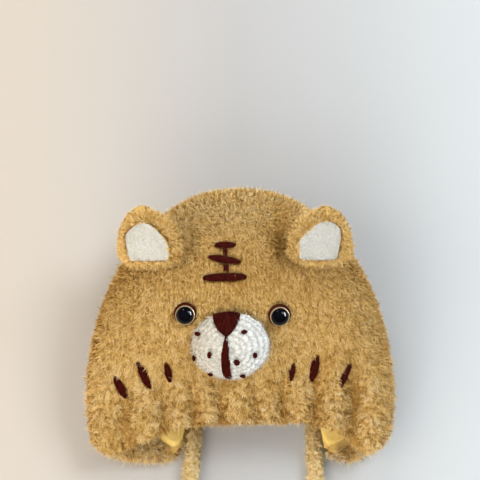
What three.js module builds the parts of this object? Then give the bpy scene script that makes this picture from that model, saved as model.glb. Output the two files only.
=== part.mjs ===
// A toddler's tiger hat in fur knit, lying on its back on a table with its face up.
// Millimetres, +Z up. X runs to the viewer's right, Y from the hat's mouth to its crown.
import * as THREE from "three";

const { degToRad, lerp, clamp, smoothstep } = THREE.MathUtils;
const RIGHT = new THREE.Vector3(1, 0, 0);
const GAP = 0.3; // between neighbouring pieces

// The viewer looks down at the face from this height above the table. Places on the face are given as the
// viewer sees them: across from the hat's middle, and up from the middle of the front hem.
const VIEW_HEIGHT = degToRad(78);
const SEEN_UP = new THREE.Vector3(0, Math.sin(VIEW_HEIGHT), Math.cos(VIEW_HEIGHT));

// The hat's pieces are modelled from the front hem, and this brings the middle of its box to the origin.
const HAT_AT = new THREE.Vector3(0, -83.47, 0);

// The cap's plan is an oval: turn runs along it from the mouth, near 0 degrees, to the crown at 90.
const OVAL = { middle: 15, reach: 174, halfWidth: 121 };
const SECTIONS = [
  { turn: -14, width: 0.975, top: 31, widest: 14, under: 0 },
  { turn: -5, width: 0.98, top: 42, widest: 18, under: 0 },
  { turn: 5, width: 0.997, top: 59, widest: 27, under: 0 },
  { turn: 15, width: 1, top: 75, widest: 35, under: 0 },
  { turn: 25, width: 1.005, top: 88, widest: 40, under: 0 },
  { turn: 35, width: 1.01, top: 94, widest: 43, under: 0 },
  { turn: 45, width: 1.01, top: 92, widest: 45, under: 2 },
  { turn: 55, width: 1.005, top: 85, widest: 46, under: 8 },
  { turn: 65, width: 1.05, top: 75, widest: 46, under: 17 },
  { turn: 75, width: 1.13, top: 64, widest: 46, under: 28 },
  { turn: 83, width: 1.2, top: 54.5, widest: 46, under: 38 },
  { turn: 90, width: 1.22, top: 46, widest: 46, under: 46 },
];
const FRONT_POWER = 2.3; // of the sections' rounding, 2 for an ellipse
const BACK_POWER = 3.2;
const BACK_PRESS = 1.1; // the back bulges by this much and the table flattens it

// The wall is knit, pile and padding. The hem is a roll, thicker on the flaps, and a facing of the same
// fur runs inside it to the lining's edge.
const WALL = 7;
const LIP = 3.2;
const ROLL_FADE = 18;
const LINING = 1.2;
const HEM_HALF_WIDTH = 117;
const FRONT_HEM = [
  { across: -117, along: -4, roll: 7, facing: 14 },
  { across: -112, along: -11, roll: 7, facing: 14 },
  { across: -104, along: -16, roll: 7, facing: 14 },
  { across: -92, along: -9.5, roll: 7, facing: 14 },
  { across: -80, along: -6.5, roll: 7, facing: 14 },
  { across: -66, along: 0, roll: 7, facing: 14 },
  { across: -48, along: 5.5, roll: 7, facing: 14 },
  { across: -30, along: 8, roll: 7, facing: 14 },
  { across: 50, along: 9, roll: 7, facing: 14 },
  { across: 66, along: 6, roll: 7, facing: 14 },
  { across: 80, along: 0.5, roll: 7, facing: 14 },
  { across: 94, along: -7.5, roll: 7, facing: 14 },
  { across: 104, along: -14, roll: 7, facing: 14 },
  { across: 112, along: -7, roll: 7, facing: 14 },
  { across: 117, along: 0, roll: 7, facing: 14 },
];
const BACK_HEM = [
  { across: -117, along: -4, roll: 7, facing: 14 },
  { across: -110, along: -12.5, roll: 8, facing: 15 },
  { across: -100, along: -18, roll: 10, facing: 16 },
  { across: -88, along: -20, roll: 12, facing: 16 },
  { across: -70, along: -20, roll: 12, facing: 13 },
  { across: -57, along: -19.5, roll: 12, facing: 5 },
  { across: -50, along: -16, roll: 10, facing: 3 },
  { across: -43.5, along: 11, roll: 7, facing: 3 },
  { across: -31, along: 12, roll: 7, facing: 4 },
  { across: -22, along: 25, roll: 7, facing: 8 },
  { across: 10, along: 30, roll: 7, facing: 10 },
  { across: 42, along: 25, roll: 7, facing: 8 },
  { across: 52, along: 12, roll: 7, facing: 4 },
  { across: 66, along: 11, roll: 7, facing: 3 },
  { across: 72, along: -16, roll: 10, facing: 3 },
  { across: 81, along: -19.5, roll: 12, facing: 5 },
  { across: 92, along: -19.5, roll: 12, facing: 14 },
  { across: 104, along: -15, roll: 9, facing: 16 },
  { across: 117, along: 0, roll: 7, facing: 14 },
];

// Gathers run up the face from the front hem: lift is outwards, or inwards where it is negative.
const GATHERS = [
  { across: -104, spread: 8, lift: 2, reach: 45 },
  { across: -87, spread: 8, lift: -3, reach: 40 },
  { across: -71, spread: 8, lift: 3, reach: 55 },
  { across: -58, spread: 7, lift: -2.5, reach: 42 },
  { across: -46, spread: 6, lift: 1.5, reach: 38 },
  { across: -35, spread: 7, lift: -3, reach: 38 },
  { across: -25, spread: 6, lift: 1.5, reach: 34 },
  { across: -14, spread: 7, lift: -3.5, reach: 38 },
  { across: 1.5, spread: 8, lift: 2.5, reach: 32 },
  { across: 12.5, spread: 6, lift: -3, reach: 38 },
  { across: 22, spread: 6, lift: 1.5, reach: 38 },
  { across: 34, spread: 7, lift: -3.5, reach: 45 },
  { across: 47.5, spread: 7, lift: 2.5, reach: 42 },
  { across: 58.5, spread: 7, lift: -4, reach: 52 },
  { across: 74, spread: 7, lift: 4.5, reach: 60 },
  { across: 87.5, spread: 7, lift: -4, reach: 52 },
  { across: 104, spread: 8, lift: 2.5, reach: 45 },
];
// Hollows and swells of the soft crown, by their place on the plan.
const DENTS = [
  { across: 33, along: 148, wide: 11, long: 24, lift: -7 },
  { across: -41, along: 148, wide: 10, long: 22, lift: -4 },
  { across: -4, along: 152, wide: 26, long: 22, lift: 2.5 },
  { across: -48, along: 50, wide: 22, long: 22, lift: 2.5 },
  { across: 48, along: 58, wide: 15, long: 30, lift: -4 },
  { across: 84, along: 62, wide: 17, long: 36, lift: 2.5 },
  { across: -8, along: 100, wide: 34, long: 14, lift: -1.5 },
];

// The mesh: columns over the front, the widest step between the back's, and rows outside and inside.
const RING = { front: 44, backStep: 12, outside: 24, inside: 7 };

const EARS = [
  { side: "left", across: -69, up: 130, lean: 0 },
  { side: "right", across: 62, up: 131, lean: 2 },
];
const EAR = { height: 39.5, halfWidth: 25, baseHalfWidth: 20.5, thickness: 9, rise: 20, cup: 5, flatten: 0.6,
  footHalf: 5, footShift: -1.5, gap: 0.7 };
const EAR_PATCH = { thickness: 2, gap: 0.9 };

const EYES = [
  { side: "left", across: -41.2, up: 90 },
  { side: "right", across: 29.8, up: 89.2 },
];
const EYE = { disc: 17.4, discShift: 0.8, discThickness: 1.6, rim: 14.8, rimThickness: 1.8, dome: 13.2, domeHeight: 6 };

const MUZZLE = { across: -7.4, up: 67.5, halfWidth: 30, halfHeight: 26.5, height: 18, gap: 0.6, seat: 1.5 };
const SPOTS = [
  { across: -23.6, up: 8, wide: 4.2, tall: 3.6 },
  { across: -15.1, up: -6.7, wide: 3.8, tall: 5.2 },
  { across: -26.4, up: -9.8, wide: 3, tall: 4.6 },
  { across: -14.5, up: -21.8, wide: 4.2, tall: 2.8 },
  { across: 10.2, up: 10, wide: 4.8, tall: 3.8 },
  { across: 4.8, up: -12.1, wide: 5.2, tall: 5.2 },
  { across: 18, up: -7, wide: 4, tall: 4.8 },
  { across: 9, up: -22.6, wide: 4.6, tall: 3 },
];

// Satin-stitched bars of the forehead ornament, from the bottom up: long and wide are their sizes as laid.
const FOREHEAD = [
  { name: "forehead_bar_low", across: -11.6, up: 118.4, long: 34, wide: 6.6, lean: 2, power: 2.8 },
  { name: "forehead_stem_low", across: -10.4, up: 125.6, long: 4.4, wide: 5.2, lean: 0, power: 2 },
  { name: "forehead_bar_middle", across: -11.6, up: 131.6, long: 26, wide: 6.2, lean: -9, power: 1.8 },
  { name: "forehead_stem_high", across: -11.2, up: 137.3, long: 3.6, wide: 4.6, lean: 0, power: 2.4 },
  { name: "forehead_bar_high", across: -11, up: 142.5, long: 16.4, wide: 5.2, lean: 0, power: 2.2 },
];
const CHEEKS = [
  { name: "cheek_stripe_left_outer", across: -92.1, up: 33.2, long: 21.2, wide: 7.2, lean: 27 },
  { name: "cheek_stripe_left_middle", across: -73.1, up: 43, long: 25, wide: 7.4, lean: 25 },
  { name: "cheek_stripe_left_inner", across: -54.4, up: 45.4, long: 16.5, wide: 5.8, lean: 11 },
  { name: "cheek_stripe_right_inner", across: 40.1, up: 45.9, long: 16, wide: 4.6, lean: -7 },
  { name: "cheek_stripe_right_middle", across: 57.4, up: 48, long: 22, wide: 7, lean: -12 },
  { name: "cheek_stripe_right_outer", across: 79.8, up: 42.8, long: 21.5, wide: 5.6, lean: -24 },
];
const STITCH = 1.6; // height of the satin stitches

// The ties' routes on the table, in the finished hat's own frame, from the hem out: the left and the
// right tie's place across at each distance along.
const TIE = { diameter: 9, sides: 10, step: 22 };
const TIE_ROUTES = [
  { along: -75.7, left: -36.2, right: 58.4 },
  { along: -82.3, left: -36.4, right: 58.5 },
  { along: -90.3, left: -36.9, right: 58.7 },
  { along: -100.3, left: -37.7, right: 59 },
  { along: -112.3, left: -38.7, right: 59.5 },
  { along: -126.3, left: -39.6, right: 60.3 },
  { along: -141.3, left: -40, right: 61.3 },
  { along: -157.3, left: -39.6, right: 62.5 },
  { along: -173.3, left: -38.3, right: 63.7 },
  { along: -189.3, left: -36.4, right: 64.6 },
  { along: -205.3, left: -34.5, right: 65.1 },
  { along: -221.3, left: -33, right: 65.1 },
  { along: -237.3, left: -31.9, right: 64.6 },
  { along: -254.3, left: -31.2, right: 63.5 },
  { along: -273.3, left: -31, right: 62 },
];

// Reads a column of a table between its rows, on a smooth curve through them.
function read(table, key, at, column) {
  const last = table.length - 1;
  const x = clamp(at, table[0][key], table[last][key]);
  let i = 0;
  while (i < last - 1 && x > table[i + 1][key]) i += 1;
  const slope = (j) => {
    const before = table[Math.max(j - 1, 0)];
    const after = table[Math.min(j + 1, last)];
    return (after[column] - before[column]) / (after[key] - before[key]);
  };
  const [a, b] = [table[i], table[i + 1]];
  const span = b[key] - a[key];
  const f = (x - a[key]) / span;
  const [g, h] = [f * f * (3 - 2 * f), f * (1 - f)];
  return lerp(a[column], b[column], g) + h * span * (slope(i) * (1 - f) - slope(i + 1) * f);
}

// Reads a hem's column between rows that step sharply, without overshoot.
function readHem(angle, column) {
  const table = Math.sin(angle) >= 0 ? FRONT_HEM : BACK_HEM;
  const across = HEM_HALF_WIDTH * Math.cos(angle);
  let i = 0;
  while (i < table.length - 2 && across > table[i + 1].across) i += 1;
  const [a, b] = [table[i], table[i + 1]];
  return lerp(a[column], b[column], smoothstep(across, a.across, b.across));
}

const alongAt = (turn) => OVAL.middle + OVAL.reach * Math.sin(degToRad(turn));
const turnAt = (along) => THREE.MathUtils.radToDeg(Math.asin((along - OVAL.middle) / OVAL.reach));
const bell = (x) => Math.exp(-x * x);

// How far the soft wall stands out of the plain shape, on the front only.
function liftAt(across, along, frontness) {
  let lift = 0;
  for (const g of GATHERS) {
    const fade = 1 - smoothstep(along, -15, g.reach);
    lift += g.lift * bell((across - g.across) / g.spread) * fade;
  }
  for (const d of DENTS) {
    lift += d.lift * bell((across - d.across) / d.wide) * bell((along - d.along) / d.long);
  }
  return lift * frontness;
}

// A point of the cap's wall, inset from its outer face. angle goes round the section from +X over the front.
function capPoint(angle, turn, inset) {
  const at = (column) => read(SECTIONS, "turn", turn, column);
  const [c, s] = [Math.cos(angle), Math.sin(angle)];
  const closing = Math.cos(degToRad(turn));
  const plainHalf = OVAL.halfWidth * at("width");
  const rise = inset * Math.max(closing, 0) ** 0.3;
  const widest = at("widest");
  const x = (plainHalf - inset) * closing * c;
  const along = OVAL.middle + (OVAL.reach - inset) * Math.sin(degToRad(turn));
  if (s < 0) {
    const under = Math.max(at("under"), 0) + rise;
    const depth = (widest - under) * BACK_PRESS * (1 - Math.abs(c) ** BACK_POWER) ** (1 / BACK_POWER);
    return new THREE.Vector3(x, along, Math.max(widest - depth, under));
  }
  const height = at("top") - rise - widest;
  const round = (1 - Math.abs(c) ** FRONT_POWER) ** (1 / FRONT_POWER);
  const lift = liftAt(plainHalf * closing * c, alongAt(turn), smoothstep(s, 0, 0.45));
  const out = new THREE.Vector3(c * Math.max(height, 1), 0, s * plainHalf * closing + 1e-6).normalize();
  return new THREE.Vector3(x, along, widest + height * round).addScaledVector(out, lift);
}

// The outward normal of the cap's outer face, from its slopes.
function capNormal(angle, turn) {
  const step = 0.01;
  const round = capPoint(angle + step, turn, 0).sub(capPoint(angle - step, turn, 0));
  const along = capPoint(angle, turn + 0.5, 0).sub(capPoint(angle, turn - 0.5, 0));
  return along.cross(round).normalize();
}

// The point and normal of the cap's face that the viewer sees at a place.
function seenOnCap(across, up) {
  let [low, high] = [-14, 88];
  const angleAt = (turn) => {
    const half = OVAL.halfWidth * read(SECTIONS, "turn", turn, "width") * Math.cos(degToRad(turn));
    return Math.acos(clamp(across / half, -0.995, 0.995));
  };
  const hemUp = capPoint(Math.PI / 2, turnAt(0), 0).dot(SEEN_UP);
  for (let i = 0; i < 40; i += 1) {
    const turn = (low + high) / 2;
    const seen = capPoint(angleAt(turn), turn, 0).dot(SEEN_UP) - hemUp;
    if (seen < up) low = turn;
    else high = turn;
  }
  const turn = (low + high) / 2;
  const angle = angleAt(turn);
  return { point: capPoint(angle, turn, 0), normal: capNormal(angle, turn) };
}

// A closed solid through rings of points, each ring closed to a point at the first and last.
function loft(rings) {
  const size = rings[0].length;
  const middle = (ring) => ring.reduce((sum, p) => sum.add(p), new THREE.Vector3()).divideScalar(size);
  const points = [...rings.flat(), middle(rings[0]), middle(rings.at(-1))];
  const first = rings.length * size;
  const faces = [];
  for (let i = 0; i < size; i += 1) {
    const j = (i + 1) % size;
    faces.push([first, j, i], [first + 1, first - size + i, first - size + j]);
    for (let r = 0; r < rings.length - 1; r += 1) {
      const [a, b] = [r * size + i, r * size + j];
      faces.push([a, b, b + size], [a, b + size, a + size]);
    }
  }
  const volume = faces.reduce((sum, [a, b, c]) => sum + points[a].dot(points[b].clone().cross(points[c])), 0);
  const outward = volume > 0 ? faces : faces.map(([a, b, c]) => [a, c, b]);
  const geometry = new THREE.BufferGeometry().setFromPoints(points);
  geometry.setIndex(outward.flat());
  geometry.computeVertexNormals();
  return geometry;
}

const circle = (count) => Array.from({ length: count }, (_, i) => (2 * Math.PI * i) / count);

// The columns' angles: even over the front, and at every row of the back hem's table.
const angles = circle(2 * RING.front).slice(0, RING.front);
BACK_HEM.slice(0, -1).forEach((row, i) => {
  const span = BACK_HEM[i + 1].across - row.across;
  const parts = Math.ceil(span / RING.backStep);
  for (let j = 0; j < parts; j += 1) {
    angles.push(2 * Math.PI - Math.acos((row.across + (span * j) / parts) / HEM_HALF_WIDTH));
  }
});
const hemTurn = (angle) => turnAt(readHem(angle, "along"));
const liningTurn = (angle) => turnAt(readHem(angle, "along") + readHem(angle, "facing"));
const wallAt = (angle, turn) => {
  const inside = alongAt(turn) - readHem(angle, "along");
  return lerp(readHem(angle, "roll"), WALL, smoothstep(inside, 0, ROLL_FADE));
};
// Turns from a column's start to just short of the crown's middle.
const CROWN_TURN = 88.5;
const rowsFrom = (start, count) => (angle) =>
  Array.from({ length: count + 1 }, (_, i) => lerp(start(angle), CROWN_TURN, i / count));

function ringsOf(columnRows, insetAt) {
  const columns = angles.map((angle) =>
    columnRows(angle).map((turn) => capPoint(angle, turn, insetAt(angle, turn))));
  return columns[0].map((_, row) => columns.map((column) => column[row]));
}

// The hem's roll, from the outer face round to the facing.
function lipRings(outer, inner) {
  return [0.18, 0.5, 0.82].map((f) =>
    outer.map((point, i) => {
      const swell = LIP * Math.sin(Math.PI * f) ** 0.6;
      return point.clone().lerp(inner[i], f).add(new THREE.Vector3(0, -swell, 0));
    }));
}

function capGeometry() {
  const outside = ringsOf(rowsFrom(hemTurn, RING.outside), () => 0);
  const facing = ringsOf((angle) => [hemTurn(angle)], wallAt);
  const inside = ringsOf(rowsFrom(liningTurn, RING.inside), wallAt);
  return loft([...outside.reverse(), ...lipRings(outside.at(-1), facing[0]), ...facing, ...inside]);
}

function liningGeometry() {
  const outside = ringsOf(rowsFrom(liningTurn, RING.inside), (a, t) => wallAt(a, t) + GAP);
  const inside = ringsOf(rowsFrom(liningTurn, RING.inside), (a, t) => wallAt(a, t) + GAP + LINING);
  return loft([...inside.reverse(), ...outside]);
}

// A pad over a surface: rings of an outline, shrunk by scale, at heights over what place gives.
const PAD_RINGS = [
  { scale: 0.45, height: 0 },
  { scale: 1, height: 0 },
  { scale: 0.94, height: 0.75 },
  { scale: 0.5, height: 1 },
];
function pad(outline, place, thickness, gap = GAP) {
  return loft(PAD_RINGS.map(({ scale, height }) =>
    outline.map(([x, y]) => place(x * scale, y * scale, gap + thickness * height))));
}

// An oval outline, blunter at the ends the higher its power is.
const oval = (halfWide, halfTall, power, count) =>
  circle(count).map((a) => {
    const [c, s] = [Math.cos(a), Math.sin(a)];
    const round = (v) => Math.sign(v) * Math.abs(v) ** (2 / power);
    return [halfWide * round(c), halfTall * round(s)];
  });

// Places a pad's points on the cap where the viewer sees them, leaning anticlockwise.
function onCap({ across, up, lean = 0 }) {
  const [c, s] = [Math.cos(degToRad(lean)), Math.sin(degToRad(lean))];
  return (x, y, height) => {
    const { point, normal } = seenOnCap(across + x * c - y * s, up + x * s + y * c);
    return point.addScaledVector(normal, height);
  };
}

// A flat frame on the cap: its middle, its normal and two sides in the face.
function frameOnCap({ across, up }) {
  const { point, normal } = seenOnCap(across, up);
  const side = RIGHT.clone().addScaledVector(normal, -normal.x).normalize();
  return { point, normal, side, rise: normal.clone().cross(side) };
}

const inFrame = ({ point, normal, side, rise }, x, y, height) =>
  point.clone().addScaledVector(side, x).addScaledVector(rise, y).addScaledVector(normal, height);

// Lays a round piece on the cap so that its whole foot is clear of the curved face.
function seatHeight(frame, radius) {
  const reach = circle(12).map((a) => {
    const foot = inFrame(frame, radius * Math.cos(a), radius * Math.sin(a), 0);
    const seen = foot.dot(SEEN_UP) - capPoint(Math.PI / 2, turnAt(0), 0).dot(SEEN_UP);
    return seenOnCap(foot.x, seen).point.sub(frame.point).dot(frame.normal);
  });
  return Math.max(0, ...reach) + GAP;
}

// Half of an ear's width at a share of its height, and a frame that places points on the cupped ear.
const earHalf = (f) => EAR.halfWidth * (1 - f ** 3) ** (1 / 2.4);
function earFrame({ across, up, lean }) {
  const rise = new THREE.Vector3(
    -Math.sin(degToRad(lean)), Math.cos(degToRad(EAR.rise)), Math.sin(degToRad(EAR.rise))).normalize();
  const level = seenOnCap(across, up).point.z;
  const normal = RIGHT.clone().cross(rise).normalize();
  // across and height in millimetres from the base's middle, depth towards the viewer
  return (x, y, depth) => {
    const f = clamp(y / EAR.height, 0, 1);
    const share = x / Math.max(earHalf(f), 1);
    const root = seenOnCap(across + share * EAR.baseHalfWidth, up).point;
    const flat = (level - root.z) * EAR.flatten * smoothstep(f, 0, 1);
    return root
      .add(new THREE.Vector3(x - share * EAR.baseHalfWidth, 0, flat))
      .addScaledVector(rise, y)
      .addScaledVector(normal, depth + EAR.thickness / 2 + EAR.cup * share * share * Math.sin(Math.PI * f ** 0.7));
  };
}

const earDepth = (share, f) =>
  (EAR.thickness / 2) * (1 - Math.min(Math.abs(share), 1) ** 2.6) ** (1 / 2.6) * (1 - 0.35 * f ** 4);
const EAR_ROWS = [0.12, 0.27, 0.42, 0.57, 0.71, 0.83, 0.92, 0.975, 0.998];

function earGeometry(ear) {
  const at = earFrame(ear);
  const round = circle(24);
  const foot = (scale) => round.map((a) => {
    const up = ear.up + EAR.footShift - EAR.footHalf * scale * Math.sin(a);
    const { point, normal } = seenOnCap(ear.across + EAR.baseHalfWidth * scale * Math.cos(a), up);
    return point.addScaledVector(normal, EAR.gap);
  });
  const rows = EAR_ROWS.map((f) =>
    round.map((a) => {
      const share = Math.cos(a);
      return at(share * earHalf(f), f * EAR.height, Math.sign(Math.sin(a)) * earDepth(share, f));
    }));
  return loft([foot(0.3), foot(0.65), foot(1), ...rows]);
}

const EAR_PATCH_OUTLINE = {
  left: [[-16.3, 2.2], [-14.5, 0.6], [0, 1.2], [15.2, 1.6], [16.8, 3.2], [16.9, 10], [16, 17],
    [11.4, 21.9], [5.8, 27.6], [0, 31.4], [-5, 32.4], [-11, 30.2], [-19, 22.6], [-19.9, 20.6], [-18.2, 11]],
  right: [[-18.8, 2.6], [-17.2, 1], [-2, 0.8], [10.8, 1], [12.6, 2.4], [14.4, 10], [16.4, 19], [16.2, 25.6],
    [12.6, 29.4], [7, 32.4], [-1, 32.4], [-6.6, 28], [-14.6, 22.6], [-17.8, 17], [-18.6, 10]],
};

function earPatchGeometry(ear) {
  const at = earFrame(ear);
  const outline = EAR_PATCH_OUTLINE[ear.side];
  const middle = [0, 17];
  const place = (x, y, height) => {
    const [px, py] = [x + middle[0], y + middle[1]];
    const f = py / EAR.height;
    return at(px, py, earDepth(px / earHalf(f), f) + height);
  };
  const centred = outline.map(([x, y]) => [x - middle[0], y - middle[1]]);
  return pad(centred, place, EAR_PATCH.thickness, EAR_PATCH.gap);
}

// The muzzle's dome over its frame on the cap.
const muzzleFrame = frameOnCap(MUZZLE);
const domeHeight = (x, y) => {
  const out = Math.min(Math.hypot(x / MUZZLE.halfWidth, y / MUZZLE.halfHeight), 1);
  return MUZZLE.seat + MUZZLE.height * (1 - out ** 2.3) ** 0.6;
};

function muzzleGeometry() {
  const outline = oval(MUZZLE.halfWidth, MUZZLE.halfHeight, 2.1, 24);
  const foot = (scale) => outline.map(([x, y]) => {
    const flat = inFrame(muzzleFrame, x * scale, y * scale, 0);
    const up = flat.dot(SEEN_UP) - capPoint(Math.PI / 2, turnAt(0), 0).dot(SEEN_UP);
    const { point, normal } = seenOnCap(flat.x, up);
    return point.addScaledVector(normal, MUZZLE.gap);
  });
  const dome = (scale) => outline.map(([x, y]) =>
    inFrame(muzzleFrame, x * scale, y * scale, domeHeight(x * scale, y * scale)));
  return loft([foot(0.45), foot(0.9), dome(0.995), dome(0.95), dome(0.86), dome(0.7), dome(0.48), dome(0.22)]);
}

// Places a pad's points on the muzzle where the viewer sees them, from the muzzle's middle.
function onMuzzle({ across, up }) {
  const toViewer = RIGHT.clone().cross(SEEN_UP);
  const { point, side, rise, normal } = muzzleFrame;
  const domeAt = (x, y) => inFrame(muzzleFrame, x, y, domeHeight(x, y));
  return (dx, dy, height) => {
    const start = point.clone().addScaledVector(RIGHT, across + dx).addScaledVector(SEEN_UP, up + dy);
    const along = (far) => start.clone().addScaledVector(toViewer, far).sub(point);
    const above = (p) => p.dot(normal) - domeHeight(p.dot(side), p.dot(rise));
    let [low, high] = [-20, 60];
    for (let i = 0; i < 40; i += 1) {
      const far = (low + high) / 2;
      if (above(along(far)) < 0) low = far;
      else high = far;
    }
    const hit = along(high);
    const [x, y] = [hit.dot(side), hit.dot(rise)];
    const out = Math.hypot(x / MUZZLE.halfWidth, y / MUZZLE.halfHeight);
    const keep = Math.min(1, 0.985 / out);
    const [px, py] = [x * keep, y * keep];
    const slope = domeAt(px + 0.2, py).sub(domeAt(px - 0.2, py));
    const surfaceNormal = slope.cross(domeAt(px, py + 0.2).sub(domeAt(px, py - 0.2))).normalize();
    return domeAt(px, py).addScaledVector(surfaceNormal, height);
  };
}

const NOSE = { across: -2.7, up: 17.3, outline: [
  [0, 8.4], [6, 7.8], [10.4, 5.6], [9.5, 1.4], [8, -2.6], [6.2, -6], [3.8, -9.2], [0.4, -11.4],
  [-0.8, -11.4], [-4.2, -9.2], [-6.8, -6], [-8.6, -2.6], [-9.8, 1.4], [-10.4, 5.6], [-6, 7.8]] };
const MOUTH = { across: -1.9, up: -10, outline: [
  [-1.9, 14.8], [-0.5, 14.8], [0.4, 9], [1.3, 2.6], [1.9, -5], [2.5, -10.6], [2.8, -13.6],
  [-2.7, -13.6], [-3.6, -10.6], [-4.7, -5], [-4.7, 2.6], [-3.6, 9]] };
const THREAD_GAP = 0.9; // over the crochet's bumpy dome

// A turned piece on the cap, its profile given as radius and height over the frame.
function turned(frame, seat, profile) {
  const geometry = new THREE.LatheGeometry(profile.map(([r, h]) => new THREE.Vector2(r, h)), 14);
  const toFrame = new THREE.Matrix4().makeBasis(frame.side, frame.normal, frame.rise.clone().negate());
  toFrame.setPosition(frame.point.clone().addScaledVector(frame.normal, seat));
  return geometry.applyMatrix4(toFrame);
}

const MATERIALS = {
  fur: { color: 0xcfa060, roughness: 0.95 },
  lining: { color: 0xd9ae5c, roughness: 0.85 },
  plush: { color: 0xe9e6da, roughness: 0.95 },
  crochet: { color: 0xece8df, roughness: 0.9 },
  thread: { color: 0x3f0d0b, roughness: 0.7 },
  felt: { color: 0x4a150e, roughness: 0.85 },
  rim: { color: 0xd9c08e, roughness: 0.35, metalness: 0.6 },
  eye: { color: 0x05060a, roughness: 0.08 },
};
for (const [name, look] of Object.entries(MATERIALS)) {
  MATERIALS[name] = new THREE.MeshStandardMaterial({ metalness: 0, ...look });
}

const hat = new THREE.Group();
hat.position.copy(HAT_AT);
function addTo(group, name, geometry, material) {
  const mesh = new THREE.Mesh(geometry, material);
  mesh.name = name;
  group.add(mesh);
}

addTo(hat, "cap", capGeometry(), MATERIALS.fur);
addTo(hat, "lining", liningGeometry(), MATERIALS.lining);
for (const ear of EARS) {
  addTo(hat, `ear_${ear.side}`, earGeometry(ear), MATERIALS.fur);
  addTo(hat, `ear_patch_${ear.side}`, earPatchGeometry(ear), MATERIALS.plush);
}

addTo(hat, "muzzle", muzzleGeometry(), MATERIALS.crochet);
addTo(hat, "nose", pad(NOSE.outline, onMuzzle(NOSE), STITCH, THREAD_GAP), MATERIALS.thread);
addTo(hat, "mouth", pad(MOUTH.outline, onMuzzle(MOUTH), STITCH, THREAD_GAP), MATERIALS.thread);
SPOTS.forEach((spot, i) => {
  const outline = oval(spot.wide / 2, spot.tall / 2, 2, 8);
  addTo(hat, `muzzle_spot_${i + 1}`, pad(outline, onMuzzle(spot), 1, THREAD_GAP), MATERIALS.thread);
});

for (const bar of FOREHEAD) {
  const outline = oval(bar.long / 2, bar.wide / 2, bar.power, bar.long > 10 ? 18 : 8);
  addTo(hat, bar.name, pad(outline, onCap(bar), STITCH), MATERIALS.thread);
}
for (const stripe of CHEEKS) {
  const outline = oval(stripe.wide / 2, stripe.long / 2, 1.7, 12);
  addTo(hat, stripe.name, pad(outline, onCap(stripe), STITCH), MATERIALS.thread);
}

for (const eye of EYES) {
  const frame = frameOnCap(eye);
  const discFrame = { ...frame, point: frame.point.clone().addScaledVector(frame.rise, EYE.discShift) };
  const seat = seatHeight(frame, EYE.disc / 2 + EYE.discShift);
  const onDisc = EYE.discThickness + GAP;
  const [discRadius, rimRadius, domeRadius] = [EYE.disc / 2, EYE.rim / 2, EYE.dome / 2];
  const disc = [[0, 0], [discRadius, 0], [discRadius, EYE.discThickness - 0.5],
    [discRadius - 0.6, EYE.discThickness], [0, EYE.discThickness]];
  const hole = domeRadius + GAP;
  const rim = [[hole, onDisc], [rimRadius - 0.3, onDisc], [rimRadius, onDisc + 0.6],
    [rimRadius - 0.2, onDisc + EYE.rimThickness - 0.3], [hole, onDisc + EYE.rimThickness], [hole, onDisc]];
  const dome = [[0, onDisc], [domeRadius, onDisc]];
  for (const a of [0, 18, 36, 54, 72]) {
    const [c, s] = [Math.cos(degToRad(a)), Math.sin(degToRad(a))];
    dome.push([domeRadius * c, onDisc + EYE.rimThickness + (EYE.domeHeight - EYE.rimThickness) * s]);
  }
  dome.push([0, onDisc + EYE.domeHeight]);
  addTo(hat, `eye_disc_${eye.side}`, turned(discFrame, seat, disc), MATERIALS.felt);
  addTo(hat, `eye_rim_${eye.side}`, turned(frame, seat, rim), MATERIALS.rim);
  addTo(hat, `eye_${eye.side}`, turned(frame, seat, dome), MATERIALS.eye);
}

const wholeHat = new THREE.Group();
wholeHat.add(hat);
for (const side of ["left", "right"]) {
  const radius = TIE.diameter / 2;
  const route = new THREE.CatmullRomCurve3(TIE_ROUTES.map((row) => new THREE.Vector3(row[side], row.along, radius)));
  const section = new THREE.Shape(circle(TIE.sides).map((a) =>
    new THREE.Vector2(radius * Math.cos(a + Math.PI / TIE.sides), radius * Math.sin(a + Math.PI / TIE.sides))));
  const steps = Math.round(route.getLength() / TIE.step);
  const tube = new THREE.ExtrudeGeometry(section, { extrudePath: route, steps, bevelEnabled: false });
  addTo(wholeHat, `tie_${side}`, tube, MATERIALS.fur);
}

export default wholeHat;
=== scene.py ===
# A toddler's tiger hat in fur knit, lying on its back with its face up, seen from above the hem.
# Metres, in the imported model's frame: X to the viewer's right, Y from the mouth to the crown, Z up.
import math
from functools import cached_property

import bpy
import numpy as np
from mathutils import Matrix, Vector
from mathutils.bvhtree import BVHTree


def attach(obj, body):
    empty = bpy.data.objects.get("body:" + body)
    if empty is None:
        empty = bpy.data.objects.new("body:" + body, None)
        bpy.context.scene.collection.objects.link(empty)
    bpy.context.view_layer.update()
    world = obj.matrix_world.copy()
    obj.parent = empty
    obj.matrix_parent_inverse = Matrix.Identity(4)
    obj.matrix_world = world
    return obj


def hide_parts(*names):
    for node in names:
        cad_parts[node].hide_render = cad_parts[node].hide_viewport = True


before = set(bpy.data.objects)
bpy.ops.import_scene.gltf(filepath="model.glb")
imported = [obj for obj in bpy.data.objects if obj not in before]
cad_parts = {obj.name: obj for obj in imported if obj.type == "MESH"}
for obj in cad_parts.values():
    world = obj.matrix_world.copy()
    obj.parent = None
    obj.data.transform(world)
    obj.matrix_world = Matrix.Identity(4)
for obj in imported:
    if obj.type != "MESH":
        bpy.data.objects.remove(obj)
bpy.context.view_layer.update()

MM = 0.001
UP = np.array([0.0, 0.0, 1.0])
TOWARDS_MOUTH = np.array([0.0, -1.0, 0.0])


def table(columns, rows):
    """A table's rows as dictionaries, by the names of its columns."""
    return [dict(zip(columns.split(), row)) for row in rows]


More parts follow.
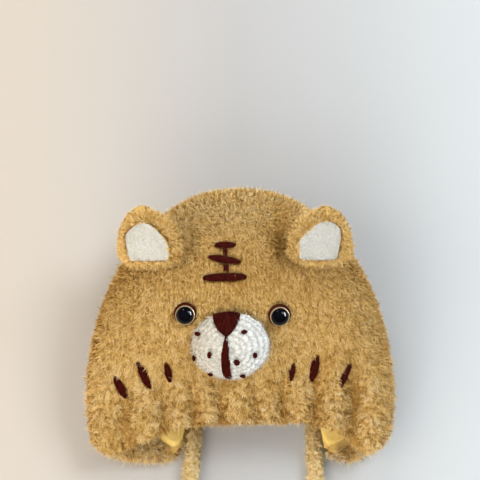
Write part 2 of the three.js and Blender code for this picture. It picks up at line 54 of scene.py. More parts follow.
# The view: how high over the table the eye stands, how far off, and how wide the picture is at the face
VIEW_HEIGHT = math.radians(78)
VIEW_DISTANCE = 1.25
VIEW_WIDTH = 371.5 * MM
LOOK_AT = Vector((0, 60.8 * MM, 70 * MM))
SENSOR_WIDTH = 36

# The ties' route on the table, as in the hat's own drawing: each tie's place across at each distance along
TIE_DIAMETER = 9 * MM
TIE_ROUTES = table("along left right", [
    (-75.7, -36.2, 58.4),
    (-82.3, -36.4, 58.5),
    (-90.3, -36.9, 58.7),
    (-100.3, -37.7, 59),
    (-112.3, -38.7, 59.5),
    (-126.3, -39.6, 60.3),
    (-141.3, -40, 61.3),
    (-157.3, -39.6, 62.5),
    (-173.3, -38.3, 63.7),
    (-189.3, -36.4, 64.6),
    (-205.3, -34.5, 65.1),
    (-221.3, -33, 65.1),
    (-237.3, -31.9, 64.6),
    (-254.3, -31.2, 63.5),
    (-273.3, -31, 62),
])

# The pile: strands and longer curved fibres per square millimetre, and how far the knit lies under their tips
PILE = {"front": 4.2, "crown_more": 0.22, "flank": 1.85, "under": 0.4, "inset": 4.2 * MM, "length": 7.2 * MM,
        "width": 0.42 * MM, "fibres": 0.1}
EAR_PILE = {"density": 4.6, "inset": 2.7 * MM, "length": 5.2 * MM, "width": 0.4 * MM, "fibres": 0.08}
FIBRE = {"longer": 1.2, "tone": 0.17, "droop": 0.25, "stray": 0.5, "comb": 0.35,
         "loose": 0.5, "loose_longer": 1.3, "loose_width": 0.22 * MM, "loose_rise": 0.8}
TIE_PILE = {"density": 4.2, "length": 5.4 * MM, "width": 0.45 * MM, "fibres": 0.1}
TIE_KNIT = {"radius": 3.2 * MM, "sides": 12, "step": 3 * MM}

# Gathers of the hem in millimetres: where each ridge or valley runs up the face, and how far it stands out
GATHERS = table("across spread lift reach", [
    (-104, 8, 2.0, 45),
    (-87, 6, -3.2, 38),
    (-71, 7, 3.4, 52),
    (-58.5, 4.5, -3.2, 40),
    (-46.5, 5, 2.6, 36),
    (-35.5, 4.5, -3.4, 36),
    (-25, 5, 2.6, 32),
    (-14.5, 4.5, -3.6, 38),
    (1.5, 6, 3.0, 30),
    (12.5, 4.5, -3.4, 40),
    (22, 5, 2.4, 36),
    (34, 5, -3.4, 46),
    (47.5, 5.5, 2.8, 40),
    (58, 5, -3.6, 52),
    (74, 5.5, 4.0, 58),
    (87.5, 5.5, -3.6, 50),
    (104, 8, 2.0, 45),
])
GATHERED_FROM = -82


# Helpers for choosing and finishing objects

def pick(obj):
    """Makes an object the only one selected."""
    bpy.ops.object.select_all(action="DESELECT")
    obj.select_set(True)
    bpy.context.view_layer.objects.active = obj


def put_on(obj, look, slot, *nodes):
    """Gives a finished piece its material and its body, and hides the nodes it stands for; the slot is not
    used.
    """
    obj.data.materials.clear()
    obj.data.materials.append(look)
    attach(obj, "root")
    if nodes:
        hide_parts(*nodes)
    return obj


def smooth(obj):
    pick(obj)
    bpy.ops.object.shade_smooth()
    return obj


def subdivided(obj, levels):
    """Rounds a piece with an applied subdivision."""
    pick(obj)
    rounding = obj.modifiers.new("rounding", "SUBSURF")
    rounding.levels = rounding.render_levels = levels
    bpy.ops.object.modifier_apply(modifier=rounding.name)
    return smooth(obj)


SAME_POINT = 0.005 * MM
QUAD_FLATNESS = math.radians(50)
QUAD_SHAPE = math.radians(60)


def merged_copy(node, name, levels):
    """A copy of a node's solid with its triangles joined to quads, rounded by subdivision."""
    obj = bpy.data.objects.new(name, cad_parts[node].data.copy())
    bpy.context.collection.objects.link(obj)
    pick(obj)
    bpy.ops.object.mode_set(mode="EDIT")
    bpy.ops.mesh.select_all(action="SELECT")
    bpy.ops.mesh.remove_doubles(threshold=SAME_POINT)
    bpy.ops.mesh.tris_convert_to_quads(face_threshold=QUAD_FLATNESS, shape_threshold=QUAD_SHAPE)
    bpy.ops.object.mode_set(mode="OBJECT")
    return subdivided(obj, levels)


def array_of(rows, key, width, kind=float):
    """A value of each of a mesh's rows, such as its points' places, as an array."""
    values = np.empty(len(rows) * width, dtype=kind)
    rows.foreach_get(key, values)
    return values.reshape(-1, width)


def points_of(obj):
    return array_of(obj.data.vertices, "co", 3)


def normals_of(obj):
    return array_of(obj.data.vertex_normals, "vector", 3)


def edges_of(obj):
    return array_of(obj.data.edges, "vertices", 2, np.int32)


def triangles_of(obj):
    obj.data.calc_loop_triangles()
    return array_of(obj.data.loop_triangles, "vertices", 3, np.int32)


def surface_of(obj):
    """A piece's points, their normals, and its triangles."""
    return points_of(obj), normals_of(obj), triangles_of(obj)


def move_points(obj, points):
    obj.data.vertices.foreach_set("co", np.ascontiguousarray(points).ravel())
    obj.data.update()


def joined(name, points, faces):
    """One mesh from arrays of points and of faces with the same number of corners each."""
    mesh = bpy.data.meshes.new(name)
    mesh.vertices.add(len(points))
    mesh.vertices.foreach_set("co", np.ascontiguousarray(points).ravel())
    mesh.loops.add(faces.size)
    mesh.loops.foreach_set("vertex_index", np.ascontiguousarray(faces, dtype=np.int32).ravel())
    mesh.polygons.add(len(faces))
    mesh.polygons.foreach_set("loop_start", np.arange(0, faces.size, faces.shape[1], dtype=np.int32))
    mesh.update(calc_edges=True)
    obj = bpy.data.objects.new(name, mesh)
    bpy.context.collection.objects.link(obj)
    return obj


def set_attribute(obj, name, values):
    """A number for each point of a piece, which its material can read."""
    obj.data.attributes.new(name, "FLOAT", "POINT").data.foreach_set("value", values.astype(np.float32))


def nodes_named(*starts):
    """The nodes whose names start in one of some ways."""
    return sorted(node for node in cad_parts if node.startswith(starts))


def tree_of(*nodes):
    """The surfaces of some nodes or pieces, for rays and nearest points."""
    points, faces = [], []
    for node in nodes:
        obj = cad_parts[node] if isinstance(node, str) else node
        faces += (triangles_of(obj) + len(points)).tolist()
        points += points_of(obj).tolist()
    return BVHTree.FromPolygons(points, faces, epsilon=0)


def unit(vectors):
    return vectors / np.maximum(np.linalg.norm(vectors, axis=-1, keepdims=True), 1e-12)


def fade(values, start, over):
    """From 0 at a start to 1 after a distance."""
    return np.clip((values - start) / over, 0, 1)


# Repeatable noise

HASH_PRIMES = np.array([73856093, 19349663, 83492791], dtype=np.int64)
HASH_SEED = 668265263
HASH_MIXERS = ((15, 2246822519), (13, 3266489917))


def lattice(cells, seed):
    """A number from 0 to 1 for each whole-numbered cell."""
    mixed = (cells.astype(np.int64) * HASH_PRIMES).sum(-1) + seed * HASH_SEED
    for bits, factor in HASH_MIXERS:
        mixed = ((mixed ^ (mixed >> bits)) * factor) & 0xFFFFFFFF
    return ((mixed ^ (mixed >> 16)) & 0xFFFF) / 0xFFFF


def swells(points, size, seed):
    """Smooth noise from -1 to 1 with swells of a size, or of a size for each axis."""
    grid = points / size
    corner = np.floor(grid).astype(np.int64)
    f = grid - corner
    f = f * f * (3 - 2 * f)
    total = np.zeros(len(points))
    for offset in np.ndindex(2, 2, 2):
        share = np.prod(np.where(offset, f, 1 - f), axis=1)
        total += share * lattice(corner + np.array(offset), seed)
    return 2 * total - 1


def tufts(points, spacing, seed):
    """The middle of the tuft nearest to each point, and that tuft's own number from 0 to 1."""
    grid = points / spacing
    cell = np.floor(grid).astype(np.int64)
    nearest = np.full(len(points), np.inf)
    middle = np.zeros_like(points)
    number = np.zeros(len(points))
    for offset in np.ndindex(3, 3, 3):
        near = cell + np.array(offset) - 1
        spot = near + np.stack([0.1 + 0.8 * lattice(near, seed + axis) for axis in (1, 2, 3)], axis=1)
        gap = ((spot - grid) ** 2).sum(1)
        closer = gap < nearest
        nearest[closer] = gap[closer]
        middle[closer] = (spot * spacing)[closer]
        number[closer] = lattice(near, seed)[closer]
    return middle, number


# Materials

class Wire:
    """A socket of a material that takes part in sums."""

    def __init__(self, look, socket):
        self.look = look
        self.socket = socket

    def sum_of(self, operation, first, second):
        return self.look.node("ShaderNodeMath", {"operation": operation}, {0: first, 1: second})

    def __add__(self, other):
        return self.sum_of("ADD", self, other)

    def __radd__(self, other):
        return self.sum_of("ADD", other, self)

    def __mul__(self, other):
        return self.sum_of("MULTIPLY", self, other)

    def __rmul__(self, other):
        return self.sum_of("MULTIPLY", other, self)


DULL = {"Specular_IOR_Level": 0.02}  # cloth and table: almost nothing shines back


class Look:
    """A material, its shader's plain values, and the nodes of its finish."""

    def __init__(self, name, **values):
        self.material = bpy.data.materials.new(name)
        self.material.use_nodes = True
        self.nodes = self.material.node_tree.nodes
        self.shader = self.nodes["Principled BSDF"]
        for socket, value in values.items():
            self.shader.inputs[socket.replace("_", " ")].default_value = value

    def node(self, kind, settings=None, inputs=None, output=0):
        """Adds a node: its settings are set first, then its sockets' values or links."""
        made = self.nodes.new(kind)
        for key, value in (settings or {}).items():
            if key == "stops":
                ramp = made.color_ramp
                while len(ramp.elements) < len(value):
                    ramp.elements.new(0.5)
                for element, (place, color) in zip(ramp.elements, value):
                    element.position = place
                    element.color = (*color, 1)
            else:
                setattr(made, key, value)
        for key, value in (inputs or {}).items():
            if isinstance(value, Wire):
                self.material.node_tree.links.new(value.socket, made.inputs[key])
            else:
                made.inputs[key].default_value = value
        return Wire(self, made.outputs[output])

    @cached_property
    def at(self):
        return self.node("ShaderNodeTexCoord", output="Object")

    def noise(self, scale, detail):
        inputs = {"Vector": self.at, "Scale": scale, "Detail": detail}
        return self.node("ShaderNodeTexNoise", {}, inputs, "Fac")

    def wave(self, scale, distortion):
        inputs = {"Vector": self.at, "Scale": scale, "Distortion": distortion, "Detail": 1.0}
        return self.node("ShaderNodeTexWave", {"bands_direction": "X"}, inputs, "Fac")

    def part(self, vector, axis):
        return self.node("ShaderNodeSeparateXYZ", {}, {0: vector}, axis)

    def rightward(self, per_metre, at_middle):
        """A share that grows to the right, with its value at the hat's middle."""
        return self.part(self.at, "X") * per_metre + at_middle

    def attribute(self, name):
        return self.node("ShaderNodeAttribute", {"attribute_name": name}, {}, "Fac")

    def ramp(self, share, *stops):
        return self.node("ShaderNodeValToRGB", {"stops": stops}, {"Fac": share})

    def mix(self, share, first, second, blend="MIX"):
        """Mixes two colours; in a Mix node of colours these are sockets 0, 6 and 7, and the result is 2."""
        wide = [value if isinstance(value, Wire) else (*value, 1) for value in (first, second)]
        settings = {"data_type": "RGBA", "blend_type": blend}
        return self.node("ShaderNodeMix", settings, {0: share, 6: wide[0], 7: wide[1]}, 2)

    def bump(self, height, distance):
        inputs = {"Height": height, "Distance": distance, "Strength": 1.0}
        self.link("Normal", self.node("ShaderNodeBump", {}, inputs))

    def link(self, socket, wire):
        self.material.node_tree.links.new(wire.socket, self.shader.inputs[socket])

    def color(self, wire):
        self.link("Base Color", wire)


def pile_look(name, shades, root):
    """Pile: each strand's own shade is read across its map, and root to tip up it."""
    look = Look(name, Roughness=0.85, **DULL)
    uv = look.node("ShaderNodeUVMap", {"uv_map": "OFBake"})
    shade = look.ramp(look.part(uv, "X"), *zip((0.0, 0.3, 0.55, 0.8, 1.0), shades))
    # darker towards the root: partly the fur's own paler tips, partly painted shade deep in the pile
    half_way = [0.42 + 0.58 * part for part in root]
    depth = look.ramp(look.part(uv, "Y"), (0.0, root), (0.45, half_way), (1.0, (1.0, 1.0, 1.0)))
    look.color(look.mix(1.0, shade, depth, "MULTIPLY"))
    return look.material


CARAMEL = [(0.44, 0.24, 0.05), (0.72, 0.455, 0.13), (0.9, 0.645, 0.235), (1.0, 0.8, 0.39), (1.0, 0.88, 0.55)]
CARAMEL_ROOT = (0.4, 0.25, 0.09)
TIE_ROOT = (0.8, 0.7, 0.54)
OFF_WHITE = [(0.6, 0.57, 0.5), (0.74, 0.72, 0.66), (0.85, 0.84, 0.79), (0.92, 0.92, 0.89), (0.97, 0.98, 0.97)]
OFF_WHITE_ROOT = (0.6, 0.57, 0.52)


def knit_look():
    """The knit under the pile, in a darker caramel that is partly painted shade under the pile, with a fine
    grain.
    """
    look = Look("caramel_knit", Roughness=0.95, **DULL)
    cloud = look.noise(scale=140, detail=3)
    look.color(look.ramp(cloud, (0.3, (0.58, 0.38, 0.12)), (0.7, (0.75, 0.52, 0.18))))
    look.bump(look.noise(scale=900, detail=3), 0.6 * MM)
    return look.material


def lining_look():
    """Smooth yellow lining with a fine tricot grain."""
    look = Look("yellow_lining", Roughness=0.7, **DULL)
    grain = look.wave(scale=420, distortion=1.5)
    cloud = look.noise(scale=60, detail=4)
    color = look.ramp(cloud, (0.3, (0.9, 0.64, 0.17)), (0.75, (1.0, 0.78, 0.27)))
    look.color(look.mix(0.12 * grain, color, (0.6, 0.38, 0.11)))
    look.bump(grain + 2.0 * look.noise(scale=250, detail=2), 0.12 * MM)
    return look.material


def plush_look():
    """Off-white knit of the ear patches, with a shadow between its stitches."""
    look = Look("white_velour", Roughness=0.9, Sheen_Weight=0.2, Sheen_Roughness=0.4, **DULL)
    crease = look.attribute("crease")
    cloud = look.noise(scale=110, detail=4)
    wale = look.wave(scale=185, distortion=0.8)
    color = look.ramp(cloud, (0.3, (0.7, 0.75, 0.74)), (0.7, (0.8, 0.87, 0.88)))
    grooved = look.mix(0.3 * wale, color, (0.6, 0.58, 0.52))
    # painted shade between the stitches
    look.color(look.mix(0.35 * crease, grooved, (0.5, 0.47, 0.4)))
    look.bump(look.noise(scale=1500, detail=3), 0.25 * MM)
    return look.material


def crochet_look():
    """White crochet yarn, cool as in painted window light, with painted shade between its stitches and to the
    left.
    """
    look = Look("white_crochet", Roughness=0.85, Sheen_Weight=0.1, Sheen_Roughness=0.4, **DULL)
    crease = look.attribute("crease")
    cloud = look.noise(scale=160, detail=3)
    # the yarn's white, with a cool tint of painted window light
    color = look.ramp(cloud, (0.3, (0.88, 0.95, 1.0)), (0.7, (0.94, 1.0, 1.0)))
    # painted shade, darker and warmer to the left, away from the window light on the right
    across = look.rightward(per_metre=16.0, at_middle=0.6)
    painted_left_shade = look.ramp(across, (0.0, (0.58, 0.49, 0.38)), (0.5, (0.92, 0.88, 0.82)), (0.8, (1.0, 1.0, 1.0)))
    color = look.mix(1.0, color, painted_left_shade, "MULTIPLY")
    # painted shade in the holes between the stitches
    look.color(look.mix(0.75 * crease, color, (0.43, 0.42, 0.4)))
    look.bump(look.noise(scale=1500, detail=3), 0.5 * MM)
    return look.material


def thread_look():
    """Dark burgundy embroidery floss, each thread a little different."""
    look = Look("burgundy_floss", Roughness=0.7, **DULL)
    shade = look.attribute("shade")
    stops = (0.0, (0.022, 0.0022, 0.0016)), (0.5, (0.045, 0.0045, 0.003)), (1.0, (0.085, 0.01, 0.006))
    look.color(look.ramp(shade, *stops))
    look.bump(look.noise(scale=2200, detail=2), 0.12 * MM)
    return look.material


def felt_look():
    """Dark red-brown felt behind the eyes."""
    look = Look("brown_felt", Roughness=0.9, **DULL)
    cloud = look.noise(scale=900, detail=4)
    look.color(look.ramp(cloud, (0.3, (0.03, 0.006, 0.003)), (0.7, (0.075, 0.016, 0.007))))
    look.bump(cloud, 0.3 * MM)
    return look.material


def rim_look():
    """Pale gold of the eyes' rims, worn a little dull."""
    look = Look("gold_rim", Metallic=0.35, Roughness=0.3)
    cloud = look.noise(scale=500, detail=3)
    look.color(look.ramp(cloud, (0.3, (0.5, 0.39, 0.23)), (0.7, (0.66, 0.54, 0.36))))
    look.link("Roughness", 0.22 + 0.2 * cloud)
    return look.material


def eye_look():
    """Black gloss of the eyes' domes, with a faint blue cast."""
    look = Look("black_gloss", Roughness=0.03, Specular_IOR_Level=0.15)
    cloud = look.noise(scale=90, detail=2)
    look.color(look.ramp(cloud, (0.3, (0.0015, 0.0015, 0.0022)), (0.7, (0.004, 0.004, 0.007))))
    return look.material


def table_look():
    """The pale table, painted warm to the left as in the room's light and cool to the right as in the
    window's.
    """
    look = Look("pale_table", Roughness=0.7, **DULL)
    # painted light: the tint follows the warm room light on the left and the cool window light on the right
    across = look.rightward(per_metre=1.6, at_middle=0.5)
    painted_light_tints = (0.0, (0.57, 0.5, 0.405)), (0.5, (0.44, 0.455, 0.475)), (1.0, (0.57, 0.65, 0.71))
    cloud = look.noise(scale=8, detail=3)
    look.color(look.mix(0.04 * cloud, look.ramp(across, *painted_light_tints), (0.55, 0.52, 0.47)))
    return look.material


# The camera, and the light of a window to the right, with a warm room to the left

def add_camera():
    bpy.ops.object.camera_add()
    camera = bpy.context.object
    camera.name = "view"
    back = Vector((0, -math.cos(VIEW_HEIGHT), math.sin(VIEW_HEIGHT)))
    camera.location = LOOK_AT + VIEW_DISTANCE * back
    camera.rotation_euler = (math.pi / 2 - VIEW_HEIGHT, 0, 0)
    camera.data.sensor_width = SENSOR_WIDTH
    camera.data.lens = SENSOR_WIDTH * VIEW_DISTANCE / VIEW_WIDTH
    bpy.context.scene.camera = camera


# Some lights shine only on the cloth, and some show only in the gloss of the eyes
LIGHTS = table("name toward distance wide tall power color seen_in", [
    ("window", (0.64, 0.38, 0.76), 4.0, 1.7, 1.7, 106, (0.94, 0.97, 1.0), "all"),
    ("back", (-0.2, 0.85, 0.5), 3.0, 2.0, 2.0, 38, (1.0, 0.94, 0.86), "cloth"),
    ("pane", (0.9, 0.2, 0.42), 3.0, 1.95, 0.65, 380, (0.9, 0.96, 1.0), "gloss"),
    ("room", (-0.8, -0.15, 0.6), 2.6, 2.0, 2.0, 34, (1.0, 0.86, 0.68), "cloth"),
    ("front", (-0.3, -0.85, 0.5), 2.4, 1.8, 1.8, 42, (1.0, 0.94, 0.88), "cloth"),
    ("lamp", (-0.42, 0.78, 0.62), 1.6, 0.12, 0.12, 6, (1.0, 0.95, 0.88), "gloss"),
])
WORLD = {"color": (1.0, 0.95, 0.9), "strength": 0.4}


def add_lights():
    for light in LIGHTS:
        toward = Vector(light["toward"]).normalized()
        bpy.ops.object.light_add(type="AREA", location=LOOK_AT + light["distance"] * toward)
        lamp = bpy.context.object
        lamp.name = light["name"]
        lamp.rotation_euler = toward.to_track_quat("Z", "Y").to_euler()
        lamp.data.energy = light["power"]
        lamp.data.shape = "RECTANGLE"
        lamp.data.size = light["wide"]
        lamp.data.size_y = light["tall"]
        lamp.data.color = light["color"]
        lamp.visible_glossy = light["seen_in"] != "cloth"
        lamp.visible_diffuse = light["seen_in"] != "gloss"
    world = bpy.data.worlds.new("room")
    world.use_nodes = True
    sky = world.node_tree.nodes["Background"]
    sky.inputs["Color"].default_value = (*WORLD["color"], 1)
    sky.inputs["Strength"].default_value = WORLD["strength"]
    world.cycles_visibility.glossy = False
    bpy.context.scene.world = world
    bpy.context.scene.view_settings.view_transform = "Standard"


TABLE_SIZE = 6


def add_table():
    bpy.ops.mesh.primitive_plane_add(size=TABLE_SIZE)
    board = bpy.context.object
    board.name = "table"
    board.data.materials.append(table_look())


# Tubes and strands from arrays

def tubes(name, paths, normals, radii, sides):
    """Round threads along paths, all with the same number of points, closed to a point at both ends.

    paths and normals are threads by points by 3, and radii is threads by points."""
    count, steps = paths.shape[:2]
    ahead = unit(np.gradient(paths, axis=1))
    side = unit(np.cross(ahead, normals))
    rise = np.cross(side, ahead)
    turn = np.linspace(0, 2 * math.pi, sides, endpoint=False)[:, None]
    ring = side[:, :, None] * np.cos(turn) + rise[:, :, None] * np.sin(turn)
    points = paths[:, :, None] + ring * radii[:, :, None, None]
    number = np.arange(count * steps * sides).reshape(count, steps, sides)
    near, far = number[:, :-1], number[:, 1:]
    faces = np.stack([near, np.roll(near, -1, axis=2), np.roll(far, -1, axis=2), far], axis=-1)
    return joined(name, points.reshape(-1, 3), faces.reshape(-1, 4))


def closed(obj, within=0.002 * MM):
    """Merges points that meet, such as those of a tube's end rings, and turns the faces outward."""
    pick(obj)
    bpy.ops.object.mode_set(mode="EDIT")
    bpy.ops.mesh.select_all(action="SELECT")
    bpy.ops.mesh.remove_doubles(threshold=within)
    bpy.ops.mesh.normals_make_consistent(inside=False)
    bpy.ops.object.mode_set(mode="OBJECT")
    return smooth(obj)


SOFT_LIGHT = 0.62  # how far a strand is lit as the fur round it, and not as its own flat side
STRAND_TWIST = 0.35
TABLE_GAP = 0.2 * MM
MAP_EDGE = 0.01  # how far strands stay from the edges of their map
MAP_SPREAD = 0.004


def strands(name, roots, out, ways, length, width, shade, relief, seed):
    """Flat strands of fur, pointed at both ends, with a bend between their ways.

    out is the surface's normal, ways the directions of each strand's equal parts, and shade from 0 to 1 is
    its place across the pile's map. relief is the softer normal that the light falls on."""
    rng = np.random.default_rng(seed)
    count, parts = len(roots), len(ways)
    joints = [roots]
    for way in ways:
        joints.append(joints[-1] + way * length[:, None] / parts)
    ahead = unit(sum(ways))
    flat = unit(np.cross(ahead, out))
    edge = unit(np.cross(ahead, flat))
    twist = rng.normal(0, STRAND_TWIST, count)[:, None]
    side = (flat * np.cos(twist) + edge * np.sin(twist)) * width[:, None] / 2
    rows = [roots]
    for joint in joints[1:-1]:
        rows += [joint - side, joint + side]
    points = np.stack([*rows, joints[-1]], axis=1)
    points[..., 2] = np.maximum(points[..., 2], TABLE_GAP)
    last = 2 * parts - 1
    corners = [(0, 2, 1)]
    for first in range(1, last - 2, 2):
        corners += [(first, first + 1, first + 3), (first, first + 3, first + 2)]
    corners.append((last - 2, last - 1, last))
    faces = (points.shape[1] * np.arange(count)[:, None, None] + np.array(corners)).reshape(-1, 3)
    obj = joined(name, points.reshape(-1, 3), faces)
    lit = unit(SOFT_LIGHT * relief + (1 - SOFT_LIGHT) * unit(np.cross(side, ahead)))
    obj.data.normals_split_custom_set_from_vertices(np.repeat(lit, points.shape[1], axis=0))
    lean_of = np.array([0] + [MAP_SPREAD, -MAP_SPREAD] * (parts - 1) + [0])
    bends = [step / parts for step in range(1, parts) for _ in range(2)]
    height = np.array([MAP_EDGE, *bends, 1 - MAP_EDGE])
    picked = np.array(corners).ravel()
    u = np.clip(shade, MAP_EDGE, 1 - MAP_EDGE)[:, None] + lean_of[picked]
    v = np.broadcast_to(height[picked], u.shape)
    obj.data.uv_layers.new(name="OFBake").data.foreach_set("uv", np.stack([u, v], axis=-1).ravel())
    return obj


# Where strands grow

def scatter(points, normals, triangles, density, rng):
    """Random roots on a surface, with the normal and the triangle of each."""
    a, b, c = (points[triangles[:, k]] for k in range(3))
    area = np.linalg.norm(np.cross(b - a, c - a), axis=1) / 2
    wanted = area * density / MM**2
    count = (wanted + rng.random(len(wanted))).astype(int)
    chosen = np.repeat(np.arange(len(triangles)), count)
    f, g = rng.random((2, len(chosen), 1))
    fold = f + g > 1
    f, g = np.where(fold, 1 - f, f), np.where(fold, 1 - g, g)
    shares = (1 - f - g, f, g)
    roots = sum(points[triangles[chosen, k]] * shares[k] for k in range(3))
    out = unit(sum(normals[triangles[chosen, k]] * shares[k] for k in range(3)))
    return roots, out, chosen


def under(starts, ways, tree, reach):
    """Which starts have something of a tree over them, along their ways."""
    found = (tree.ray_cast(Vector(p), Vector(w), reach)[0] for p, w in zip(starts, ways))
    return np.array([spot is not None for spot in found], dtype=bool)


def aside_of(vectors, out):
    """The part of some vectors that lies in the surface."""
    return vectors - out * (vectors * out).sum(1, keepdims=True)


def lean(out, rng, flow, sway, rise, stray, drift):
    """Directions that rise along the normal, stray at random and drift along a flow."""
    aside = unit(aside_of(rng.normal(size=out.shape), out))
    amount = np.sqrt(rng.random((len(out), 1)))
    return unit(rise * out + stray * sway * amount * aside + drift * aside_of(flow, out))


# How the two parts of a strand of down lie, how a tuft's edge darkens with painted shade between tufts and
# tilts, and how strands differ
FIRST_PART = {"rise": 0.85, "stray": 0.45, "drift": 0.1}
SECOND_PART = {"rise": 0.35, "stray": 0.7, "drift": 0.2}
TUFT_GRAIN = 0.05 * MM
TUFT_EDGE = {"from": 0.6, "darker": 0.7, "tilt": 0.9, "steepest": 1.2}
TUFT_LENGTH = {"least": 0.78, "more": 0.36}
LENGTHS = (0.75, 1.2)
WIDTHS = (0.7, 1.35)
TONES = 0.1
COVER_REACH = 10 * MM
ASTRAY = 0.015  # the share of strands that cross what lies on the pile


def grow(name, look, roots, out, pile, shade, seed, flow=TOWARDS_MOUTH, longer=1.0, over=None, relief=None,
         tuft=(2.4, 3.6, 3.0), pull=0.6, comb=0.75, straight=0.9, rough=0.3, sway=1.0):
    """A patch of pile: a dense down whose tips draw together in tufts, and curved fibres over it.

    over is what lies on the pile, which strands go round, apart from a few at its edges. relief is the
    normal that the light falls on, straight how closely the tufts follow the flow, rough how they differ in
    shade, and sway how far single strands stray."""
    rng = np.random.default_rng(seed)
    count = len(roots)
    tuft = np.array(tuft) * MM
    relief = out if relief is None else relief
    middle, number = tufts(roots, tuft, seed)
    turn = 2 * math.pi * lattice(np.round(middle / TUFT_GRAIN), seed + 7)
    combed = np.stack([np.cos(turn), np.sin(turn), np.zeros(count)], axis=1)
    combed = unit(aside_of(combed + straight * flow, out))
    inward = aside_of(middle - roots, out) / (tuft.mean() * 0.5)
    first = lean(out, rng, flow, sway, **FIRST_PART)
    second = unit(lean(out, rng, flow, sway, **SECOND_PART) + comb * combed + pull * inward)
    edge = np.clip(np.linalg.norm(inward, axis=1, keepdims=True), 1e-6, None)
    tone = shade + rng.normal(0, TONES, count) + rough * (number - 0.5)
    # painted shade between the tufts, at their edges
    tone -= TUFT_EDGE["darker"] * rough * np.clip(edge[:, 0] - TUFT_EDGE["from"], 0, 1)
    tilt = TUFT_EDGE["tilt"] * rough * inward * np.minimum(1, TUFT_EDGE["steepest"] / edge)
    relief = unit(relief - tilt)
    length = pile["length"] * longer * (TUFT_LENGTH["least"] + TUFT_LENGTH["more"] * number)
    length = length * rng.uniform(*LENGTHS, count)
    width = pile["width"] * rng.uniform(*WIDTHS, count)
    fibre = rng.random(count) < pile["fibres"]
    loose = fibre & (rng.random(count) < FIBRE["loose"])
    curl = FIBRE["stray"] * aside_of(rng.normal(size=out.shape), out) + FIBRE["comb"] * combed
    third = unit(second - FIBRE["droop"] * out + curl)
    third = np.where(loose[:, None], unit(second + FIBRE["loose_rise"] * out), third)
    tone = np.where(fibre, tone + FIBRE["tone"] * np.where(loose, 2, 1), tone)
    length = np.where(fibre, length * FIBRE["longer"], length)
    length = np.where(loose, length * FIBRE["loose_longer"], length)
    width = np.where(loose, FIBRE["loose_width"], width)
    keep = np.ones(count, dtype=bool)
    if over is not None:
        keep = ~under(roots, unit(first + second), over, COVER_REACH) | (rng.random(count) < ASTRAY)
        keep &= ~under(roots, out, over, COVER_REACH)
    pieces = []
    down = ("down", keep & ~fibre, (first, second))
    fibres = ("fibres", keep & fibre, (first, second, third))
    for part, here, ways in (down, fibres):
        if here.any():
            piece = strands(f"{name}_{part}", roots[here], out[here], [way[here] for way in ways],
                            length[here], width[here], tone[here], relief[here], seed + 1)
            pieces.append(put_on(piece, look, "fur"))
    return pieces


# The ties

def smooth_route(side, spacing):
    """Points along a tie's smooth route, evenly spaced."""
    rows = np.array([[row[side] * MM, row["along"] * MM, TIE_DIAMETER / 2] for row in TIE_ROUTES])
    ends = np.vstack([2 * rows[0] - rows[1], rows, 2 * rows[-1] - rows[-2]])
    steps_each = 20
    f = np.linspace(0, 1, steps_each, endpoint=False)[:, None]
    parts = []
    for before, a, b, after in zip(ends, ends[1:], ends[2:], ends[3:]):
        parts.append(0.5 * (2 * a + (b - before) * f + (2 * before - 5 * a + 4 * b - after) * f**2
                            + (3 * a - before - 3 * b + after) * f**3))
    curve = np.vstack([*parts, rows[-1]])
    walked = np.concatenate([[0], np.cumsum(np.linalg.norm(np.diff(curve, axis=0), axis=1))])
    even = np.linspace(0, walked[-1], round(walked[-1] / spacing) + 1)
    return np.stack([np.interp(even, walked, curve[:, k]) for k in range(3)], axis=1), walked[-1]


def add_tie(side, look_knit, look_pile):
    route, length = smooth_route(side, TIE_KNIT["step"])
    to_end = fade(length - np.linspace(0, length, len(route)), 0, TIE_KNIT["radius"])
    radii = (TIE_KNIT["radius"] * np.sqrt(np.clip(1 - (1 - to_end) ** 2, 0, 1)))[None]
    radii[0, 0] = 0
    ups = np.broadcast_to(UP, (1, len(route), 3))
    knit = closed(tubes(f"tie_{side}_knit", route[None], ups, radii, TIE_KNIT["sides"]))
    put_on(knit, look_knit, "fur", f"tie_{side}")
    rng = np.random.default_rng(40 + len(side))
    roots, out, _ = scatter(*surface_of(knit), TIE_PILE["density"], rng)
    shade = 0.95 + 0.08 * swells(roots, 9 * MM, 5)
    pile = grow(f"tie_{side}_pile", look_pile, roots, out, TIE_PILE, shade, 50 + len(side),
                tuft=(1.8, 2.6, 1.8), rough=0.2)


# The cap's knit and its pile

WALE = 3.4 * MM  # the knit's columns, faint under the pile
# Shallow hollows and folds of the front, and the middle over the eyes, where shade is painted into the pile,
# in millimetres
PAINTED_SHADE_SPOTS = table("across along wide long darker", [
    (30, 65, 10, 20, 0.42),
    (-39, 62, 8, 18, 0.04),
    (69, -37, 12, 15, 0.16),
    (2, 22, 26, 14, 0.13),
])
# How the pile lies: curly and clumped by the hem, and combed down along the wales higher up
CAP_PARTS = ("hem", "cheeks", "brow", "crown", "back")
CAP_HABITS = table("tuft straight rough comb pull sway", [
    ((2.6, 3.8, 3.2), 0.9, 0.5, 0.75, 0.75, 1.0),
    ((2.3, 3.6, 3.0), 1.3, 0.38, 0.65, 0.45, 1.0),
    ((1.7, 4.2, 2.6), 2.0, 0.22, 0.6, 0.35, 0.75),
    ((1.8, 3.6, 2.6), 1.6, 0.14, 0.4, 0.2, 0.9),
    ((2.2, 3.8, 3.0), 1.2, 0.3, 0.75, 0.6, 1.0),
])
SKIN = 0.4 * MM  # how deep under a surface a ray for the wall's far side starts


